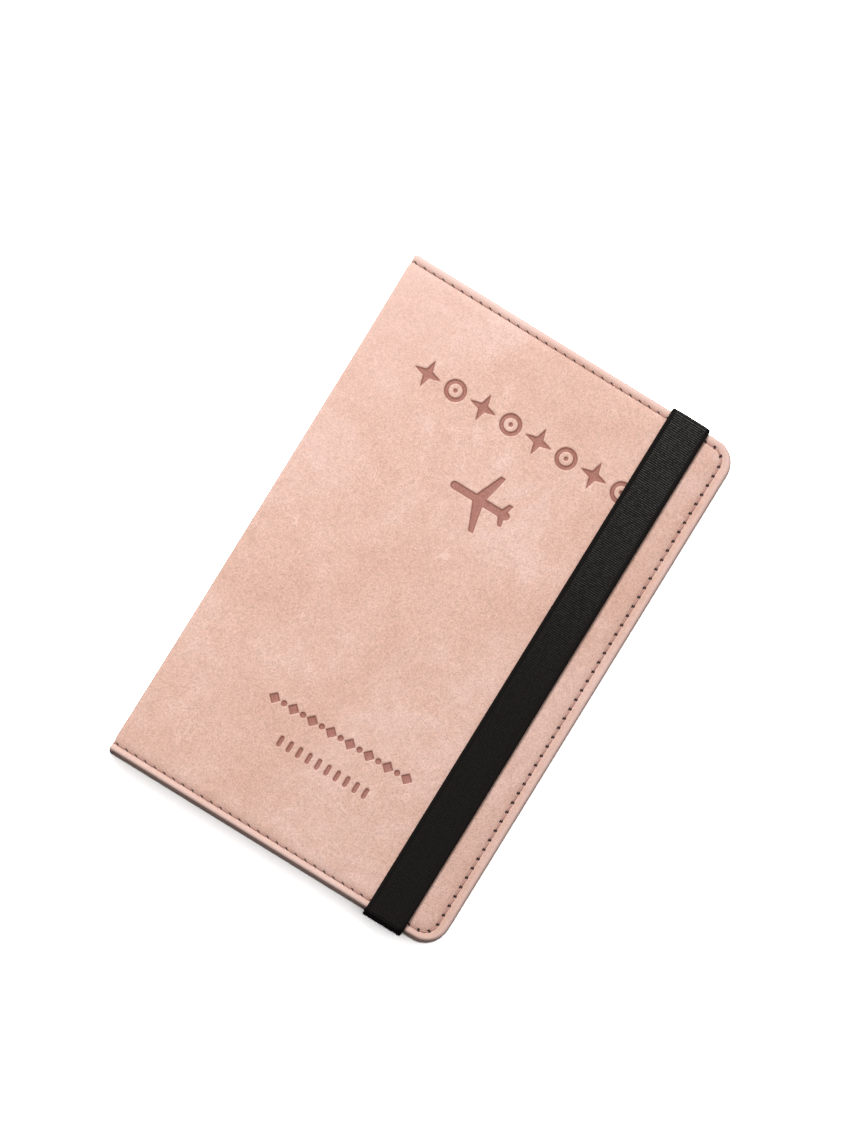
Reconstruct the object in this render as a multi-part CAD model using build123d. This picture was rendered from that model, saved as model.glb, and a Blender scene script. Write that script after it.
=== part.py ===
"""Passport holder: two padded covers on a folding spine, with inner pockets,
perimeter stitching and an elastic closure band.

Millimetres, +Z up. The closed holder lies on its back cover: +X runs from the
spine to the opening edge and +Y from the bottom to the top of the cover.
"""

import os

from build123d import *

# ---------------------------------------------------------------- dimensions
# Covers
cover_width = 95.5  # spine face to opening edge
cover_height = 146.0
corner_radius = 6.3  # on the opening side only
edge_roll = 0.7  # rounding of the turned leather edge
leather_thickness = 0.95
board_thickness = 0.85
film_thickness = 0.12
lining_thickness = 0.35
lining_margin = 0.6  # lining stops this far inside the leather edge

# Spine and folds
booklet_gap = 4.4  # room between the pockets for a passport booklet
fold_clearance = 0.3  # between leather parts that turn on each other
board_setback = 1.6  # boards and linings start this far from the fold line

# Pockets
panel_thickness = 0.35
pocket_margin = 0.8  # pocket panels stop this far inside the leather edge
sleeve_width = 40.0  # passport sleeve, from the opening edge
ticket_pocket_width = 62.0  # boarding-pass pocket, from the opening edge
card_slots = 3
lowest_slot_mouth = 69.0  # above the bottom edge
card_slot_step = 14.0

# Elastic closure band
band_width = 10.9
band_thickness = 0.9
band_edge_distance = 9.4  # opening edge to the near edge of the band
band_lift = 0.15  # band runs this far above the front leather
band_bend_radius = 0.6
tab_length = 10.0  # sewn in under the lining
tab_clearance = 0.2  # around the tab in its notch

# Stitching
stitch_inset = 2.3  # cover edge to stitch line
stitch_pitch = 2.75
stitch_length = 2.0
thread_width = 0.55
groove_width = 0.85
groove_depth = 0.3
thread_recess = 0.05  # thread lies this far below the leather's face

# Debossed decoration on the front
deboss_depth = 0.25
star_row_from_top = 24.2  # cover top to the centre of the ornament row
star_row_shift = -0.9  # row centre from the cover's middle
star_count = 8
star_pitch = 8.1
star_height = 8.0
star_line = 1.1
plane_from_top = 44.5
plane_shift = -1.5
plane_length = 17.0
plane_span = 16.0
bead_row_from_bottom = 32.6
bead_count = 15
bead_pitch = 2.75
bead_size = 3.2
dash_row_from_bottom = 24.1
dash_count = 10
dash_pitch = 2.75
dash_length = 3.0
dash_width = 1.1

# ------------------------------------------------------------ derived levels
half_width = cover_width / 2
half_height = cover_height / 2
fold_x = -half_width + leather_thickness / 2  # both fold axes lie at this X
board_x = fold_x + board_setback
film_z = leather_thickness + board_thickness
lining_z = film_z + film_thickness
cover_stack = lining_z + lining_thickness
back_pocket_stack = 2 * panel_thickness
front_pocket_stack = card_slots * panel_thickness
closed_thickness = (
    2 * cover_stack + back_pocket_stack + front_pocket_stack + booklet_gap
)
middle_z = closed_thickness / 2
band_x = half_width - band_edge_distance - band_width / 2
band_y = half_height + fold_clearance  # inner face of each band leg


# ------------------------------------------------------------------- helpers
def outline(inset=0.0, left=fold_x):
    """Cover outline, square at the spine and rounded at the opening side."""
    right = half_width - inset
    half = half_height - inset
    sheet = Pos((left + right) / 2, 0) * Rectangle(right - left, 2 * half)
    corners = sheet.vertices().group_by(Axis.X)[-1]
    return fillet(corners, corner_radius - inset)


def slab(sketch, bottom, thickness):
    """Flat piece that starts at a height and has a thickness."""
    return Pos(0, 0, bottom) * extrude(sketch, thickness)


def box_between(low, high):
    """Box from its low corner to its high corner."""
    size = [b - a for a, b in zip(low, high)]
    centre = [(a + b) / 2 for a, b in zip(low, high)]
    return Pos(*centre) * Box(*size)


def to_front(part):
    """Turns a piece built on the back cover over to the front cover."""
    return mirror(part, about=Plane.XY.offset(middle_z))


def stitch_path(inset):
    """Stitch line along the top, opening and bottom edges."""
    right = half_width - inset
    half = half_height - inset
    start = fold_x + stitch_pitch
    points = [(start, half), (right, half), (right, -half), (start, -half)]
    return FilletPolyline(*points, radius=corner_radius - inset)


# -------------------------------------------------------------- cover pieces
def cover_leather():
    """Leather of one cover with turned-up edges, outer face down at z = 0."""
    plate = slab(outline(), 0, leather_thickness)
    opening = outline(leather_thickness, board_x - 1)
    rim = slab(outline(left=board_x) - opening, leather_thickness,
               lining_z - leather_thickness)
    tray = plate + rim
    low_edges = tray.edges().group_by(Axis.Z)[0]
    spine_edge = low_edges.sort_by(Axis.X)[0]
    roll = min(edge_roll, 0.9 * leather_thickness)
    tray = fillet([e for e in low_edges if e != spine_edge], roll)
    fold = Pos(fold_x, 0, leather_thickness / 2) * Rot(90, 0, 0) * Cylinder(
        leather_thickness / 2, cover_height
    )
    groove_area = outline(stitch_inset - groove_width / 2) - outline(
        stitch_inset + groove_width / 2, fold_x - 5
    )
    return tray + fold - slab(groove_area, 0, groove_depth)


def cover_stitching():
    """Stitches of one cover, lying in the groove of the outer face."""
    path = stitch_path(stitch_inset)
    count = int(path.length // stitch_pitch)
    stitches = []
    for i in range(count + 1):
        place = path.location_at(i / count)
        along = path.tangent_at(i / count)
        turn = Vector(1, 0, 0).get_signed_angle(along, Vector(0, 0, 1))
        thread = Rot(0, 0, turn) * SlotOverall(stitch_length, thread_width)
        stitches.append(Pos(place.position.X, place.position.Y) * thread)
    height = groove_depth - thread_recess
    return slab(Sketch() + stitches, thread_recess, height)


def elastic_tab(side):
    """Sewn-in end of the elastic at the top (+1) or bottom (-1) edge."""
    outer = side * half_height
    inner = side * (half_height - tab_length)
    return box_between(
        (band_x - band_width / 2, min(inner, outer), leather_thickness),
        (band_x + band_width / 2, max(inner, outer), film_z),
    )


def tab_notch(side):
    """Room for a sewn-in end in the board, the film and the turned edge."""
    outer = side * (half_height + 1)
    inner = side * (half_height - tab_length - tab_clearance)
    half = band_width / 2 + tab_clearance
    return box_between(
        (band_x - half, min(inner, outer), leather_thickness),
        (band_x + half, max(inner, outer), lining_z),
    )


def pocket_panel(left, top=half_height, level=0):
    """Pocket panel on the lining, stitched at the outer edges."""
    bottom = cover_stack + level * panel_thickness
    panel = slab(outline(pocket_margin, left), bottom, panel_thickness)
    return panel & box_between((left, -half_height, 0), (half_width, top, middle_z))


# --------------------------------------------------------------- back cover
notches = tab_notch(1) + tab_notch(-1)
board = slab(outline(leather_thickness, board_x), leather_thickness, board_thickness)
film = slab(outline(leather_thickness, board_x), film_z, film_thickness)
lining = slab(outline(lining_margin, board_x), lining_z, lining_thickness)

parts = {}
parts["back_cover_leather"] = cover_leather() - notches
parts["back_stiffener_board"] = board - notches
parts["back_rfid_film"] = film - notches
parts["back_lining"] = lining
parts["back_cover_stitching"] = cover_stitching()
parts["elastic_tab_top"] = elastic_tab(1)
parts["elastic_tab_bottom"] = elastic_tab(-1)
parts["boarding_pass_pocket"] = pocket_panel(half_width - ticket_pocket_width)
parts["passport_sleeve"] = pocket_panel(half_width - sleeve_width, level=1)


# -------------------------------------------------------------------- spine
spine_end = leather_thickness + fold_clearance
parts["spine_leather"] = box_between(
    (-half_width, -half_height, spine_end),
    (-half_width + leather_thickness, half_height, closed_thickness - spine_end),
)
parts["spine_lining"] = box_between(
    (
        -half_width + leather_thickness,
        -half_height + lining_margin,
        spine_end + fold_clearance,
    ),
    (
        -half_width + leather_thickness + lining_thickness,
        half_height - lining_margin,
        closed_thickness - spine_end - fold_clearance,
    ),
)


# -------------------------------------------------------------- front cover
def star(turn=0):
    """Four-pointed star with hollow sides."""
    long, short = star_height / 2, star_height / 9
    points = []
    for quarter in range(4):
        points.append(Vector(0, long).rotate(Axis.Z, 90 * quarter))
        points.append(Vector(-short, short).rotate(Axis.Z, 90 * quarter))
    return Rot(0, 0, turn) * make_face(Polyline(*points, close=True))


def ring():
    """Plain ring with a dot in the middle."""
    outer = star_height * 0.36
    return Circle(outer) - Circle(outer - star_line) + Circle(star_line / 2)


def ornament_row():
    """Row of stars and rings near the top of the cover."""
    first = star_row_shift - (star_count - 1) / 2 * star_pitch
    y = half_height - star_row_from_top
    marks = []
    for i in range(star_count):
        mark = star() if i % 2 == 0 else ring()
        marks.append(Pos(first + i * star_pitch, y) * mark)
    return marks


def aeroplane():
    """Plan view of a generic aeroplane that flies towards the spine."""
    nose, span = plane_length / 2, plane_span / 2
    body = SlotOverall(plane_length, plane_length * 0.12)
    wing = [(-0.24, 0.0), (0.16, 1.0), (0.32, 1.0), (0.12, 0.0)]
    tail = [(0.62, 0.0), (0.80, 0.38), (0.93, 0.38), (0.84, 0.0)]
    shape = body
    for points in (wing, tail):
        for side in (1, -1):
            corners = [(x * nose, side * y * span) for x, y in points]
            shape = shape + make_face(Polyline(*corners, close=True))
    return Pos(plane_shift, half_height - plane_from_top) * shape


def bead_row():
    """Lozenges and discs in turn, in place of a first line of lettering."""
    y = bead_row_from_bottom - half_height
    marks = []
    for i in range(bead_count):
        x = (i - (bead_count - 1) / 2) * bead_pitch
        if i % 2 == 0:
            mark = Rot(0, 0, 45) * Rectangle(bead_size / 2**0.5, bead_size / 2**0.5)
        else:
            mark = Circle(bead_size * 0.24)
        marks.append(Pos(x, y) * mark)
    return marks


def dash_row():
    """Short upright dashes, in place of a second line of lettering."""
    y = dash_row_from_bottom - half_height
    marks = []
    for i in range(dash_count):
        x = (i - (dash_count - 1) / 2) * dash_pitch
        mark = Rot(0, 0, 90) * SlotOverall(dash_length, dash_width)
        marks.append(Pos(x, y) * mark)
    return marks


front_leather = to_front(cover_leather())
marks = Sketch() + ornament_row() + [aeroplane()] + bead_row() + dash_row()
deboss = slab(marks, closed_thickness - deboss_depth, deboss_depth + 1)

parts["front_cover_leather"] = front_leather - deboss
parts["front_stiffener_board"] = to_front(board)
parts["front_rfid_film"] = to_front(film)
parts["front_lining"] = to_front(lining)
parts["front_cover_stitching"] = to_front(cover_stitching())
for level in range(card_slots):
    mouth = lowest_slot_mouth + (card_slots - 1 - level) * card_slot_step
    panel = pocket_panel(board_x, mouth - half_height, level)
    parts[f"card_slot_{level + 1}"] = to_front(panel)


# ------------------------------------------------------------- elastic band
band_low = closed_thickness + band_lift
band_high = band_low + band_thickness
leg_y = band_y + band_thickness
run = box_between(
    (band_x - band_width / 2, -leg_y, band_low),
    (band_x + band_width / 2, leg_y, band_high),
)
bends = run.edges().filter_by(Axis.X).group_by(Axis.Z)[-1]
parts["elastic_front_run"] = fillet(bends, band_bend_radius)
for name, side in (("top", 1), ("bottom", -1)):
    near, far = sorted((side * band_y, side * leg_y))
    parts[f"elastic_leg_{name}"] = box_between(
        (band_x - band_width / 2, near, leather_thickness),
        (band_x + band_width / 2, far, band_low),
    )


# ------------------------------------------------------------------- export
os.makedirs("parts", exist_ok=True)
for name, part in parts.items():
    part.label = name
    export_step(part, f"parts/{name}.step")
    size = part.bounding_box().size
    print(f"{name}: {size.X:.2f} x {size.Y:.2f} x {size.Z:.2f} mm, {part.volume:.0f} mm3")
print(f"closed thickness {closed_thickness:.2f} mm, band at x = {band_x:.2f} mm")
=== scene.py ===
# %% [markdown]
# # A passport holder in soft pink leather
# The holder is a little book without pages: two padded covers, a spine that folds on
# both sides, pockets on the inner faces and a black elastic that keeps it shut.
# The CAD model fixes every size and every joint. This lesson builds the looks around it,
# one piece at a time, and ties the pocket panels and their thread to the CAD bodies that
# carry them.

import math

import bmesh
import bpy
import numpy as np
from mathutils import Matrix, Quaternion, Vector


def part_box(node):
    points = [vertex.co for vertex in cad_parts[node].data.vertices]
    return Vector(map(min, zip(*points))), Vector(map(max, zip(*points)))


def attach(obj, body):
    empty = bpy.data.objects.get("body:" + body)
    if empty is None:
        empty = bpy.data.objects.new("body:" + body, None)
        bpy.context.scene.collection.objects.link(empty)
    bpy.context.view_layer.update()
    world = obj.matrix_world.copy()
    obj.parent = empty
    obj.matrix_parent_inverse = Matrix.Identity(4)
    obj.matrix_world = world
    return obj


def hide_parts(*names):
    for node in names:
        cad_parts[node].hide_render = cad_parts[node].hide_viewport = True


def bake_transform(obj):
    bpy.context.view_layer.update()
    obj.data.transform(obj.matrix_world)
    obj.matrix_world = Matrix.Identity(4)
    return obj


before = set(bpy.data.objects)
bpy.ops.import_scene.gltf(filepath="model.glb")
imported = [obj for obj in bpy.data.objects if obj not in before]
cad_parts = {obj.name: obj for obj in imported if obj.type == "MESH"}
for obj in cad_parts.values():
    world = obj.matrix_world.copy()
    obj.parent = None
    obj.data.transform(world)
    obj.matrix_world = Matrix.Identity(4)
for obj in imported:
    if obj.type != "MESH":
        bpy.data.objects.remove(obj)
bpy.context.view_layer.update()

# %% [markdown]
# ## Sizes that everything shares
# Positions are read from the CAD boxes, so the looks can't drift away from the part.
# A few sizes that a box doesn't tell, such as the corner radius, are repeated here. The
# seam runs closer to the top and bottom edges than to the opening, and turns its own
# tighter corner.
# All lengths are in metres, and MM turns a length in millimetres into metres.

# %% Shared sizes
MM = 0.001
front_low, front_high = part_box("front_cover_leather")
spine_low, spine_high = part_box("spine_leather")
LEFT = spine_low.x
RIGHT = front_high.x
HALF = front_high.y
TOP = front_high.z
SKIN = spine_high.x - spine_low.x
RIM = front_high.z - front_low.z
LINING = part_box("front_lining")[1].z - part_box("front_lining")[0].z
INNER_FACE = RIM + LINING
CORNER = 6.3 * MM
SEAM = 2.1 * MM
SEAM_SIDE = 2.9 * MM
TURN = 3.7 * MM
FOLD_START = LEFT + 3.0 * MM
print(f"cover {1000 * (RIGHT - LEFT):.1f} x {2000 * HALF:.1f} mm, closed {1000 * TOP:.2f} mm")

# %% [markdown]
# ## The camera
# A product picture of a flat object is taken from almost straight above with a long lens
# from far away, so that parallel edges stay parallel. The camera stands a little towards
# the bottom edge, and is rolled so that the holder lies on the diagonal. Its place is an
# angle round the object, an angle above it and a distance, which is easier to adjust
# than three coordinates.

# %% Camera
CAMERA_TURN = math.radians(0.0)
CAMERA_RISE = math.radians(84.0)
CAMERA_ROLL = math.radians(31.68)
CAMERA_AWAY = 2.352
CAMERA_TARGET = Vector((-4.58 * MM, 7.20 * MM, TOP))

camera_data = bpy.data.cameras.new("camera")
camera_data.lens = 300.0
camera_data.sensor_width = 36.0
camera = bpy.data.objects.new("camera", camera_data)
bpy.context.scene.collection.objects.link(camera)
away = Vector((
    math.sin(CAMERA_TURN) * math.cos(CAMERA_RISE),
    -math.cos(CAMERA_TURN) * math.cos(CAMERA_RISE),
    math.sin(CAMERA_RISE),
))
camera.location = CAMERA_TARGET + away * CAMERA_AWAY
camera.rotation_mode = "QUATERNION"
rolled = Quaternion((0, 0, 1), CAMERA_ROLL)
camera.rotation_quaternion = (-away).to_track_quat("-Z", "Y") @ rolled
bpy.context.scene.camera = camera
print("camera stands", CAMERA_AWAY, "m away")

# %% [markdown]
# ## Small tools for shader nodes
# A material is a graph, and writing it in code needs three moves: add a node, join two
# sockets, and start a group with named inputs and outputs. These helpers keep the
# graphs further down short enough to read.

# %% Node helpers
def add(tree, kind, inputs=None, **settings):
    """Adds a node, sets its options, and fills or links its inputs by name or number."""
    node = tree.nodes.new(kind)
    for key, value in settings.items():
        setattr(node, key, value)
    for key, value in (inputs or {}).items():
        socket = node.inputs[key]
        if isinstance(value, bpy.types.NodeSocket):
            tree.links.new(value, socket)
        else:
            socket.default_value = value
    return node


def math_node(tree, operation, *values, clamp=False):
    """A Math node; returns its value socket."""
    node = add(tree, "ShaderNodeMath", dict(enumerate(values)), operation=operation)
    node.use_clamp = clamp
    return node.outputs[0]


def ramp(tree, value, low, high, start=0.0, end=1.0):
    """Smooth step from start to end as value goes from low to high."""
    node = add(
        tree, "ShaderNodeMapRange",
        {"Value": value, "From Min": low, "From Max": high, "To Min": start, "To Max": end},
        interpolation_type="SMOOTHSTEP",
    )
    return node.outputs["Result"]


def mix_colour(tree, factor, first, second, blend="MIX"):
    """Mixes two colours; returns the colour socket."""
    node = add(tree, "ShaderNodeMix", {0: factor, 6: first, 7: second},
               data_type="RGBA", blend_type=blend)
    return node.outputs[2]


def start_group(name, inputs, outputs):
    """A new node group; returns its tree, its input sockets and its output node."""
    tree = bpy.data.node_groups.new(name, "ShaderNodeTree")
    for label, kind, value in inputs:
        socket = tree.interface.new_socket(label, in_out="INPUT", socket_type=kind)
        if value is not None:
            socket.default_value = value
    for label, kind in outputs:
        tree.interface.new_socket(label, in_out="OUTPUT", socket_type=kind)
    entry = tree.nodes.new("NodeGroupInput")
    leave = tree.nodes.new("NodeGroupOutput")
    return tree, entry.outputs, leave


def use_group(tree, group, inputs):
    """Places a node group in a tree."""
    node = tree.nodes.new("ShaderNodeGroup")
    node.node_tree = group
    for key, value in inputs.items():
        if isinstance(value, bpy.types.NodeSocket):
            tree.links.new(value, node.inputs[key])
        else:
            node.inputs[key].default_value = value
    return node


FLOAT, COLOUR, VECTOR = "NodeSocketFloat", "NodeSocketColor", "NodeSocketVector"

# %% [markdown]
# ## Colours are given as the eye reads them
# Paint charts give colours for the screen, and shaders want linear light. One helper
# turns a screen colour into linear light, so the colours in this file can be compared
# with a swatch directly.

# %% Colour helper
def swatch(red, green, blue):
    """Linear RGBA from a screen colour with parts from 0 to 255."""
    parts = []
    for part in (red, green, blue):
        value = part / 255
        parts.append(value / 12.92 if value <= 0.04045 else ((value + 0.055) / 1.055) ** 2.4)
    return (*parts, 1.0)


# %% [markdown]
# ## Light and floor
# The light is that of a small white tent: soft light that leans towards the top edge of
# the holder and fades towards the horizon, and one broad lamp on the same side. It leaves
# the top edge bright and the bottom edge in shade. The sweep under the object comes out
# pure white, as in a catalogue. So the floor is a dark grey one for the light that
# bounces off it, and overexposed only for what the camera sees.

# %% Studio light
SKY_LEAN = 0.7
SKY_LOW, SKY_HIGH = 0.04, 0.74
LAMP_PLACE = (-0.35, 0.30, 0.60)
world = bpy.data.worlds.new("studio_tent")
bpy.context.scene.world = world
world.use_nodes = True
tree = world.node_tree
sky = tree.nodes["Background"]
sky.inputs["Color"].default_value = (1.0, 0.995, 0.99, 1.0)
direction = add(tree, "ShaderNodeTexCoord").outputs["Generated"]
sides = add(tree, "ShaderNodeSeparateXYZ", {"Vector": direction})
upward = math_node(tree, "ADD", sides.outputs["Z"],
                   math_node(tree, "MULTIPLY", sides.outputs["Y"], SKY_LEAN))
tree.links.new(ramp(tree, upward, -0.1, 1.2, SKY_LOW, SKY_HIGH), sky.inputs["Strength"])

lamp_data = bpy.data.lights.new("broad_lamp", "AREA")
lamp_data.shape = "DISK"
lamp_data.size = 0.34
lamp_data.energy = 5.6
lamp = bpy.data.objects.new("broad_lamp", lamp_data)
bpy.context.scene.collection.objects.link(lamp)
lamp.location = LAMP_PLACE
lamp.rotation_mode = "QUATERNION"
lamp.rotation_quaternion = (-lamp.location).to_track_quat("-Z", "Y")
bpy.context.scene.view_settings.view_transform = "Standard"

# %% Floor
SWEEP = 12.0
OVEREXPOSED = 4.2
BOUNCE = 0.15
floor_mesh = bpy.data.meshes.new("floor")
corners = [(-SWEEP, -SWEEP, 0), (SWEEP, -SWEEP, 0), (SWEEP, SWEEP, 0), (-SWEEP, SWEEP, 0)]
floor_mesh.from_pydata(corners, [], [(0, 1, 2, 3)])
floor = bpy.data.objects.new("floor", floor_mesh)
bpy.context.scene.collection.objects.link(floor)
floor.location.z = -0.02 * MM
floor_paint = bpy.data.materials.new("pale_floor")
floor_paint.use_nodes = True
tree = floor_paint.node_tree
tree.nodes.remove(tree.nodes["Principled BSDF"])
real = add(tree, "ShaderNodeBsdfDiffuse", {"Color": (BOUNCE, BOUNCE, BOUNCE, 1.0)})
seen = add(tree, "ShaderNodeBsdfDiffuse",
           {"Color": (OVEREXPOSED, OVEREXPOSED, OVEREXPOSED, 1.0)})
to_camera = add(tree, "ShaderNodeLightPath").outputs["Is Camera Ray"]
both = add(tree, "ShaderNodeMixShader",
           {0: to_camera, 1: real.outputs[0], 2: seen.outputs[0]})
tree.links.new(both.outputs[0], tree.nodes["Material Output"].inputs["Surface"])
floor_mesh.materials.append(floor_paint)

# %% [markdown]
# ## Mottled leather colour
# The cover is a soft coated leather with a suede-like finish. Its colour drifts in
# cloudy patches as large as a thumb. On top lie fine flecks, and pale veins where the
# skin was bent: a few long ones, and some patches of short crackle. Noises of different
# size do this better than one detailed noise, because each gets its own strength. All
# the leather uses it, so it is a group.

# %% Group: leather clouds
clouds, given, result = start_group(
    "Leather clouds",
    [("Vector", VECTOR, None), ("Cloud Size", FLOAT, 24.0), ("Base", COLOUR, (1, 1, 1, 1)),
     ("Light", COLOUR, (1, 1, 1, 1)), ("Dark", COLOUR, (0, 0, 0, 1)),
     ("Fleck", FLOAT, 0.12), ("Vein", FLOAT, 0.5)],
    [("Color", COLOUR), ("Tone", FLOAT), ("Vein Mask", FLOAT)],
)


def cloud_noise(size, detail, roughness, distortion=0.0):
    """A noise in the clouds group whose patches are size millimetres wide."""
    return add(clouds, "ShaderNodeTexNoise", {
        "Vector": given["Vector"], "Scale": 1.0 / size, "Detail": detail,
        "Roughness": roughness, "Distortion": distortion}).outputs["Fac"]


def thin_line(value, width):
    """1 where a noise crosses its middle value, fading out over a width."""
    off = math_node(clouds, "ABSOLUTE", math_node(clouds, "SUBTRACT", value, 0.5))
    return ramp(clouds, off, width, 0.0)


wide = add(clouds, "ShaderNodeTexNoise", {
    "Vector": given["Vector"], "Scale": math_node(clouds, "DIVIDE", 1.0, given["Cloud Size"]),
    "Detail": 3.0, "Roughness": 0.5, "Distortion": 0.7}).outputs["Fac"]
patch = cloud_noise(5.5, 4.0, 0.6, 0.5)
tone = math_node(clouds, "ADD", math_node(clouds, "MULTIPLY", wide, 0.62),
                 math_node(clouds, "MULTIPLY", patch, 0.38))
shaded = mix_colour(clouds, ramp(clouds, tone, 0.53, 0.36), given["Base"], given["Dark"])
lit = mix_colour(clouds, ramp(clouds, tone, 0.50, 0.66), shaded, given["Light"])
flecks = math_node(clouds, "ADD", math_node(clouds, "MULTIPLY", cloud_noise(1.0, 3.0, 0.7), 0.45),
                   math_node(clouds, "MULTIPLY", cloud_noise(0.34, 2.0, 0.6), 1.9))
spread = math_node(clouds, "MULTIPLY", math_node(clouds, "SUBTRACT", flecks, 1.175),
                   math_node(clouds, "MULTIPLY", given["Fleck"], 4.0))
level = math_node(clouds, "ADD", 1.0, spread)
flecked = add(clouds, "ShaderNodeVectorMath", {0: lit, "Scale": level}, operation="SCALE")
long_vein = math_node(clouds, "MULTIPLY", thin_line(cloud_noise(11.0, 5.0, 0.55, 1.4), 0.011),
                      ramp(clouds, cloud_noise(17.0, 2.0, 0.5), 0.46, 0.60))
crackle = math_node(clouds, "MULTIPLY", thin_line(cloud_noise(2.6, 4.0, 0.6, 2.2), 0.035),
                    ramp(clouds, cloud_noise(13.0, 3.0, 0.5, 0.8), 0.50, 0.63))
veins = math_node(clouds, "MULTIPLY", math_node(
    clouds, "ADD", long_vein, math_node(clouds, "MULTIPLY", crackle, 0.8), clamp=True),
    given["Vein"])
pale = add(clouds, "ShaderNodeVectorMath", {0: given["Light"], "Scale": 1.10}, operation="SCALE")
veined = mix_colour(clouds, veins, flecked.outputs["Vector"], pale.outputs["Vector"])
clouds.links.new(veined, result.inputs["Color"])
clouds.links.new(tone, result.inputs["Tone"])
clouds.links.new(veins, result.inputs["Vein Mask"])
print("made group", clouds.name)

# %% [markdown]
# ## Leather grain
# Up close the surface is a web of tiny flat plates with fine cracks between them, and a
# short brushed nap across it. A Voronoi texture gives the plates, a stretched noise the
# nap. The group puts out one height, which each material sends to a Bump node.

# %% Group: leather grain
grain, given, result = start_group(
    "Leather grain",
    [("Vector", VECTOR, None), ("Plate Size", FLOAT, 0.9), ("Nap", FLOAT, 0.5)],
    [("Height", FLOAT), ("Cracks", FLOAT)],
)
plate_scale = math_node(grain, "DIVIDE", 1.0, given["Plate Size"])
wobble = add(grain, "ShaderNodeTexNoise", {
    "Vector": given["Vector"], "Scale": plate_scale, "Detail": 2.0})
pushed = add(grain, "ShaderNodeVectorMath",
             {0: wobble.outputs["Color"], "Scale": 0.9}, operation="SCALE")
moved = add(grain, "ShaderNodeVectorMath",
            {0: given["Vector"], 1: pushed.outputs["Vector"]}, operation="ADD")
plates = add(grain, "ShaderNodeTexVoronoi",
             {"Vector": moved.outputs["Vector"], "Scale": plate_scale},
             feature="DISTANCE_TO_EDGE")
cracks = ramp(grain, plates.outputs["Distance"], 0.10, 0.0)
brushed = add(grain, "ShaderNodeMapping",
              {"Vector": given["Vector"], "Rotation": (0, 0, 0.35), "Scale": (1.0, 3.2, 1.0)})
nap_scale = math_node(grain, "MULTIPLY", plate_scale, 1.5)
nap = add(grain, "ShaderNodeTexNoise", {
    "Vector": brushed.outputs["Vector"], "Scale": nap_scale, "Detail": 4.0, "Roughness": 0.65})
nap_part = math_node(grain, "MULTIPLY", nap.outputs["Fac"], given["Nap"])
height = math_node(grain, "SUBTRACT", nap_part, math_node(grain, "MULTIPLY", cracks, 0.45))
grain.links.new(height, result.inputs["Height"])
grain.links.new(cracks, result.inputs["Cracks"])
print("made group", grain.name)

# %% [markdown]
# ## Needle holes and the seam's groove
# A sewing machine pulls the leather down at each stitch, so the seam lies in a groove
# with a dark slit at every needle hole. Each vertex carries how far it lies aside of the
# seam and how far along it, both in millimetres, and the group turns those two numbers
# into masks. The holes stay sharp however coarse the mesh is.

# %% Group: seam marks
PITCH = 2.75 * MM
ARC = TURN * math.pi / 2
TURN_X = RIGHT - SEAM_SIDE - TURN
TURN_Y = HALF - SEAM - TURN
RUN_X = TURN_X - LEFT
RUN_Y = 2 * TURN_Y
SEAM_LENGTH = 2 * RUN_X + 2 * ARC + RUN_Y
STITCHES = round(SEAM_LENGTH / PITCH)
PITCH = SEAM_LENGTH / STITCHES
SLANT = math.radians(20)

seam_marks, given, result = start_group(
    "Seam marks",
    [("Aside", FLOAT, 50.0), ("Along", FLOAT, 0.0), ("Hole Length", FLOAT, 0.48),
     ("Hole Width", FLOAT, 0.23)],
    [("Hole", FLOAT), ("Groove", FLOAT)],
)
turns = math_node(seam_marks, "DIVIDE", given["Along"], PITCH / MM)
part = math_node(seam_marks, "SUBTRACT", math_node(seam_marks, "FRACT", turns), 0.5)
near = math_node(seam_marks, "MULTIPLY", part, PITCH / MM)
aside = given["Aside"]
slit_along = math_node(seam_marks, "ADD", math_node(seam_marks, "MULTIPLY", near, math.cos(SLANT)),
                       math_node(seam_marks, "MULTIPLY", aside, math.sin(SLANT)))
slit_across = math_node(
    seam_marks, "SUBTRACT", math_node(seam_marks, "MULTIPLY", aside, math.cos(SLANT)),
    math_node(seam_marks, "MULTIPLY", near, math.sin(SLANT)))
slit_along = math_node(seam_marks, "DIVIDE", slit_along, given["Hole Length"])
slit_across = math_node(seam_marks, "DIVIDE", slit_across, given["Hole Width"])
radius = math_node(seam_marks, "SQRT", math_node(
    seam_marks, "ADD", math_node(seam_marks, "MULTIPLY", slit_along, slit_along),
    math_node(seam_marks, "MULTIPLY", slit_across, slit_across)))
hole = ramp(seam_marks, radius, 1.1, 0.8)
groove = ramp(seam_marks, math_node(seam_marks, "ABSOLUTE", aside), 0.5, 0.05)
seam_marks.links.new(hole, result.inputs["Hole"])
seam_marks.links.new(groove, result.inputs["Groove"])
print(f"{STITCHES} stitches, {1000 * PITCH:.3f} mm apart")

# %% [markdown]
# ## Woven cloth
# The lining is a thin plain weave. Two bands of waves at right angles, one high where
# the other is low, look like threads going over and under. The elastic is woven too, but
# its ribs run across it, so it gets its own pattern further down.

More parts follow.
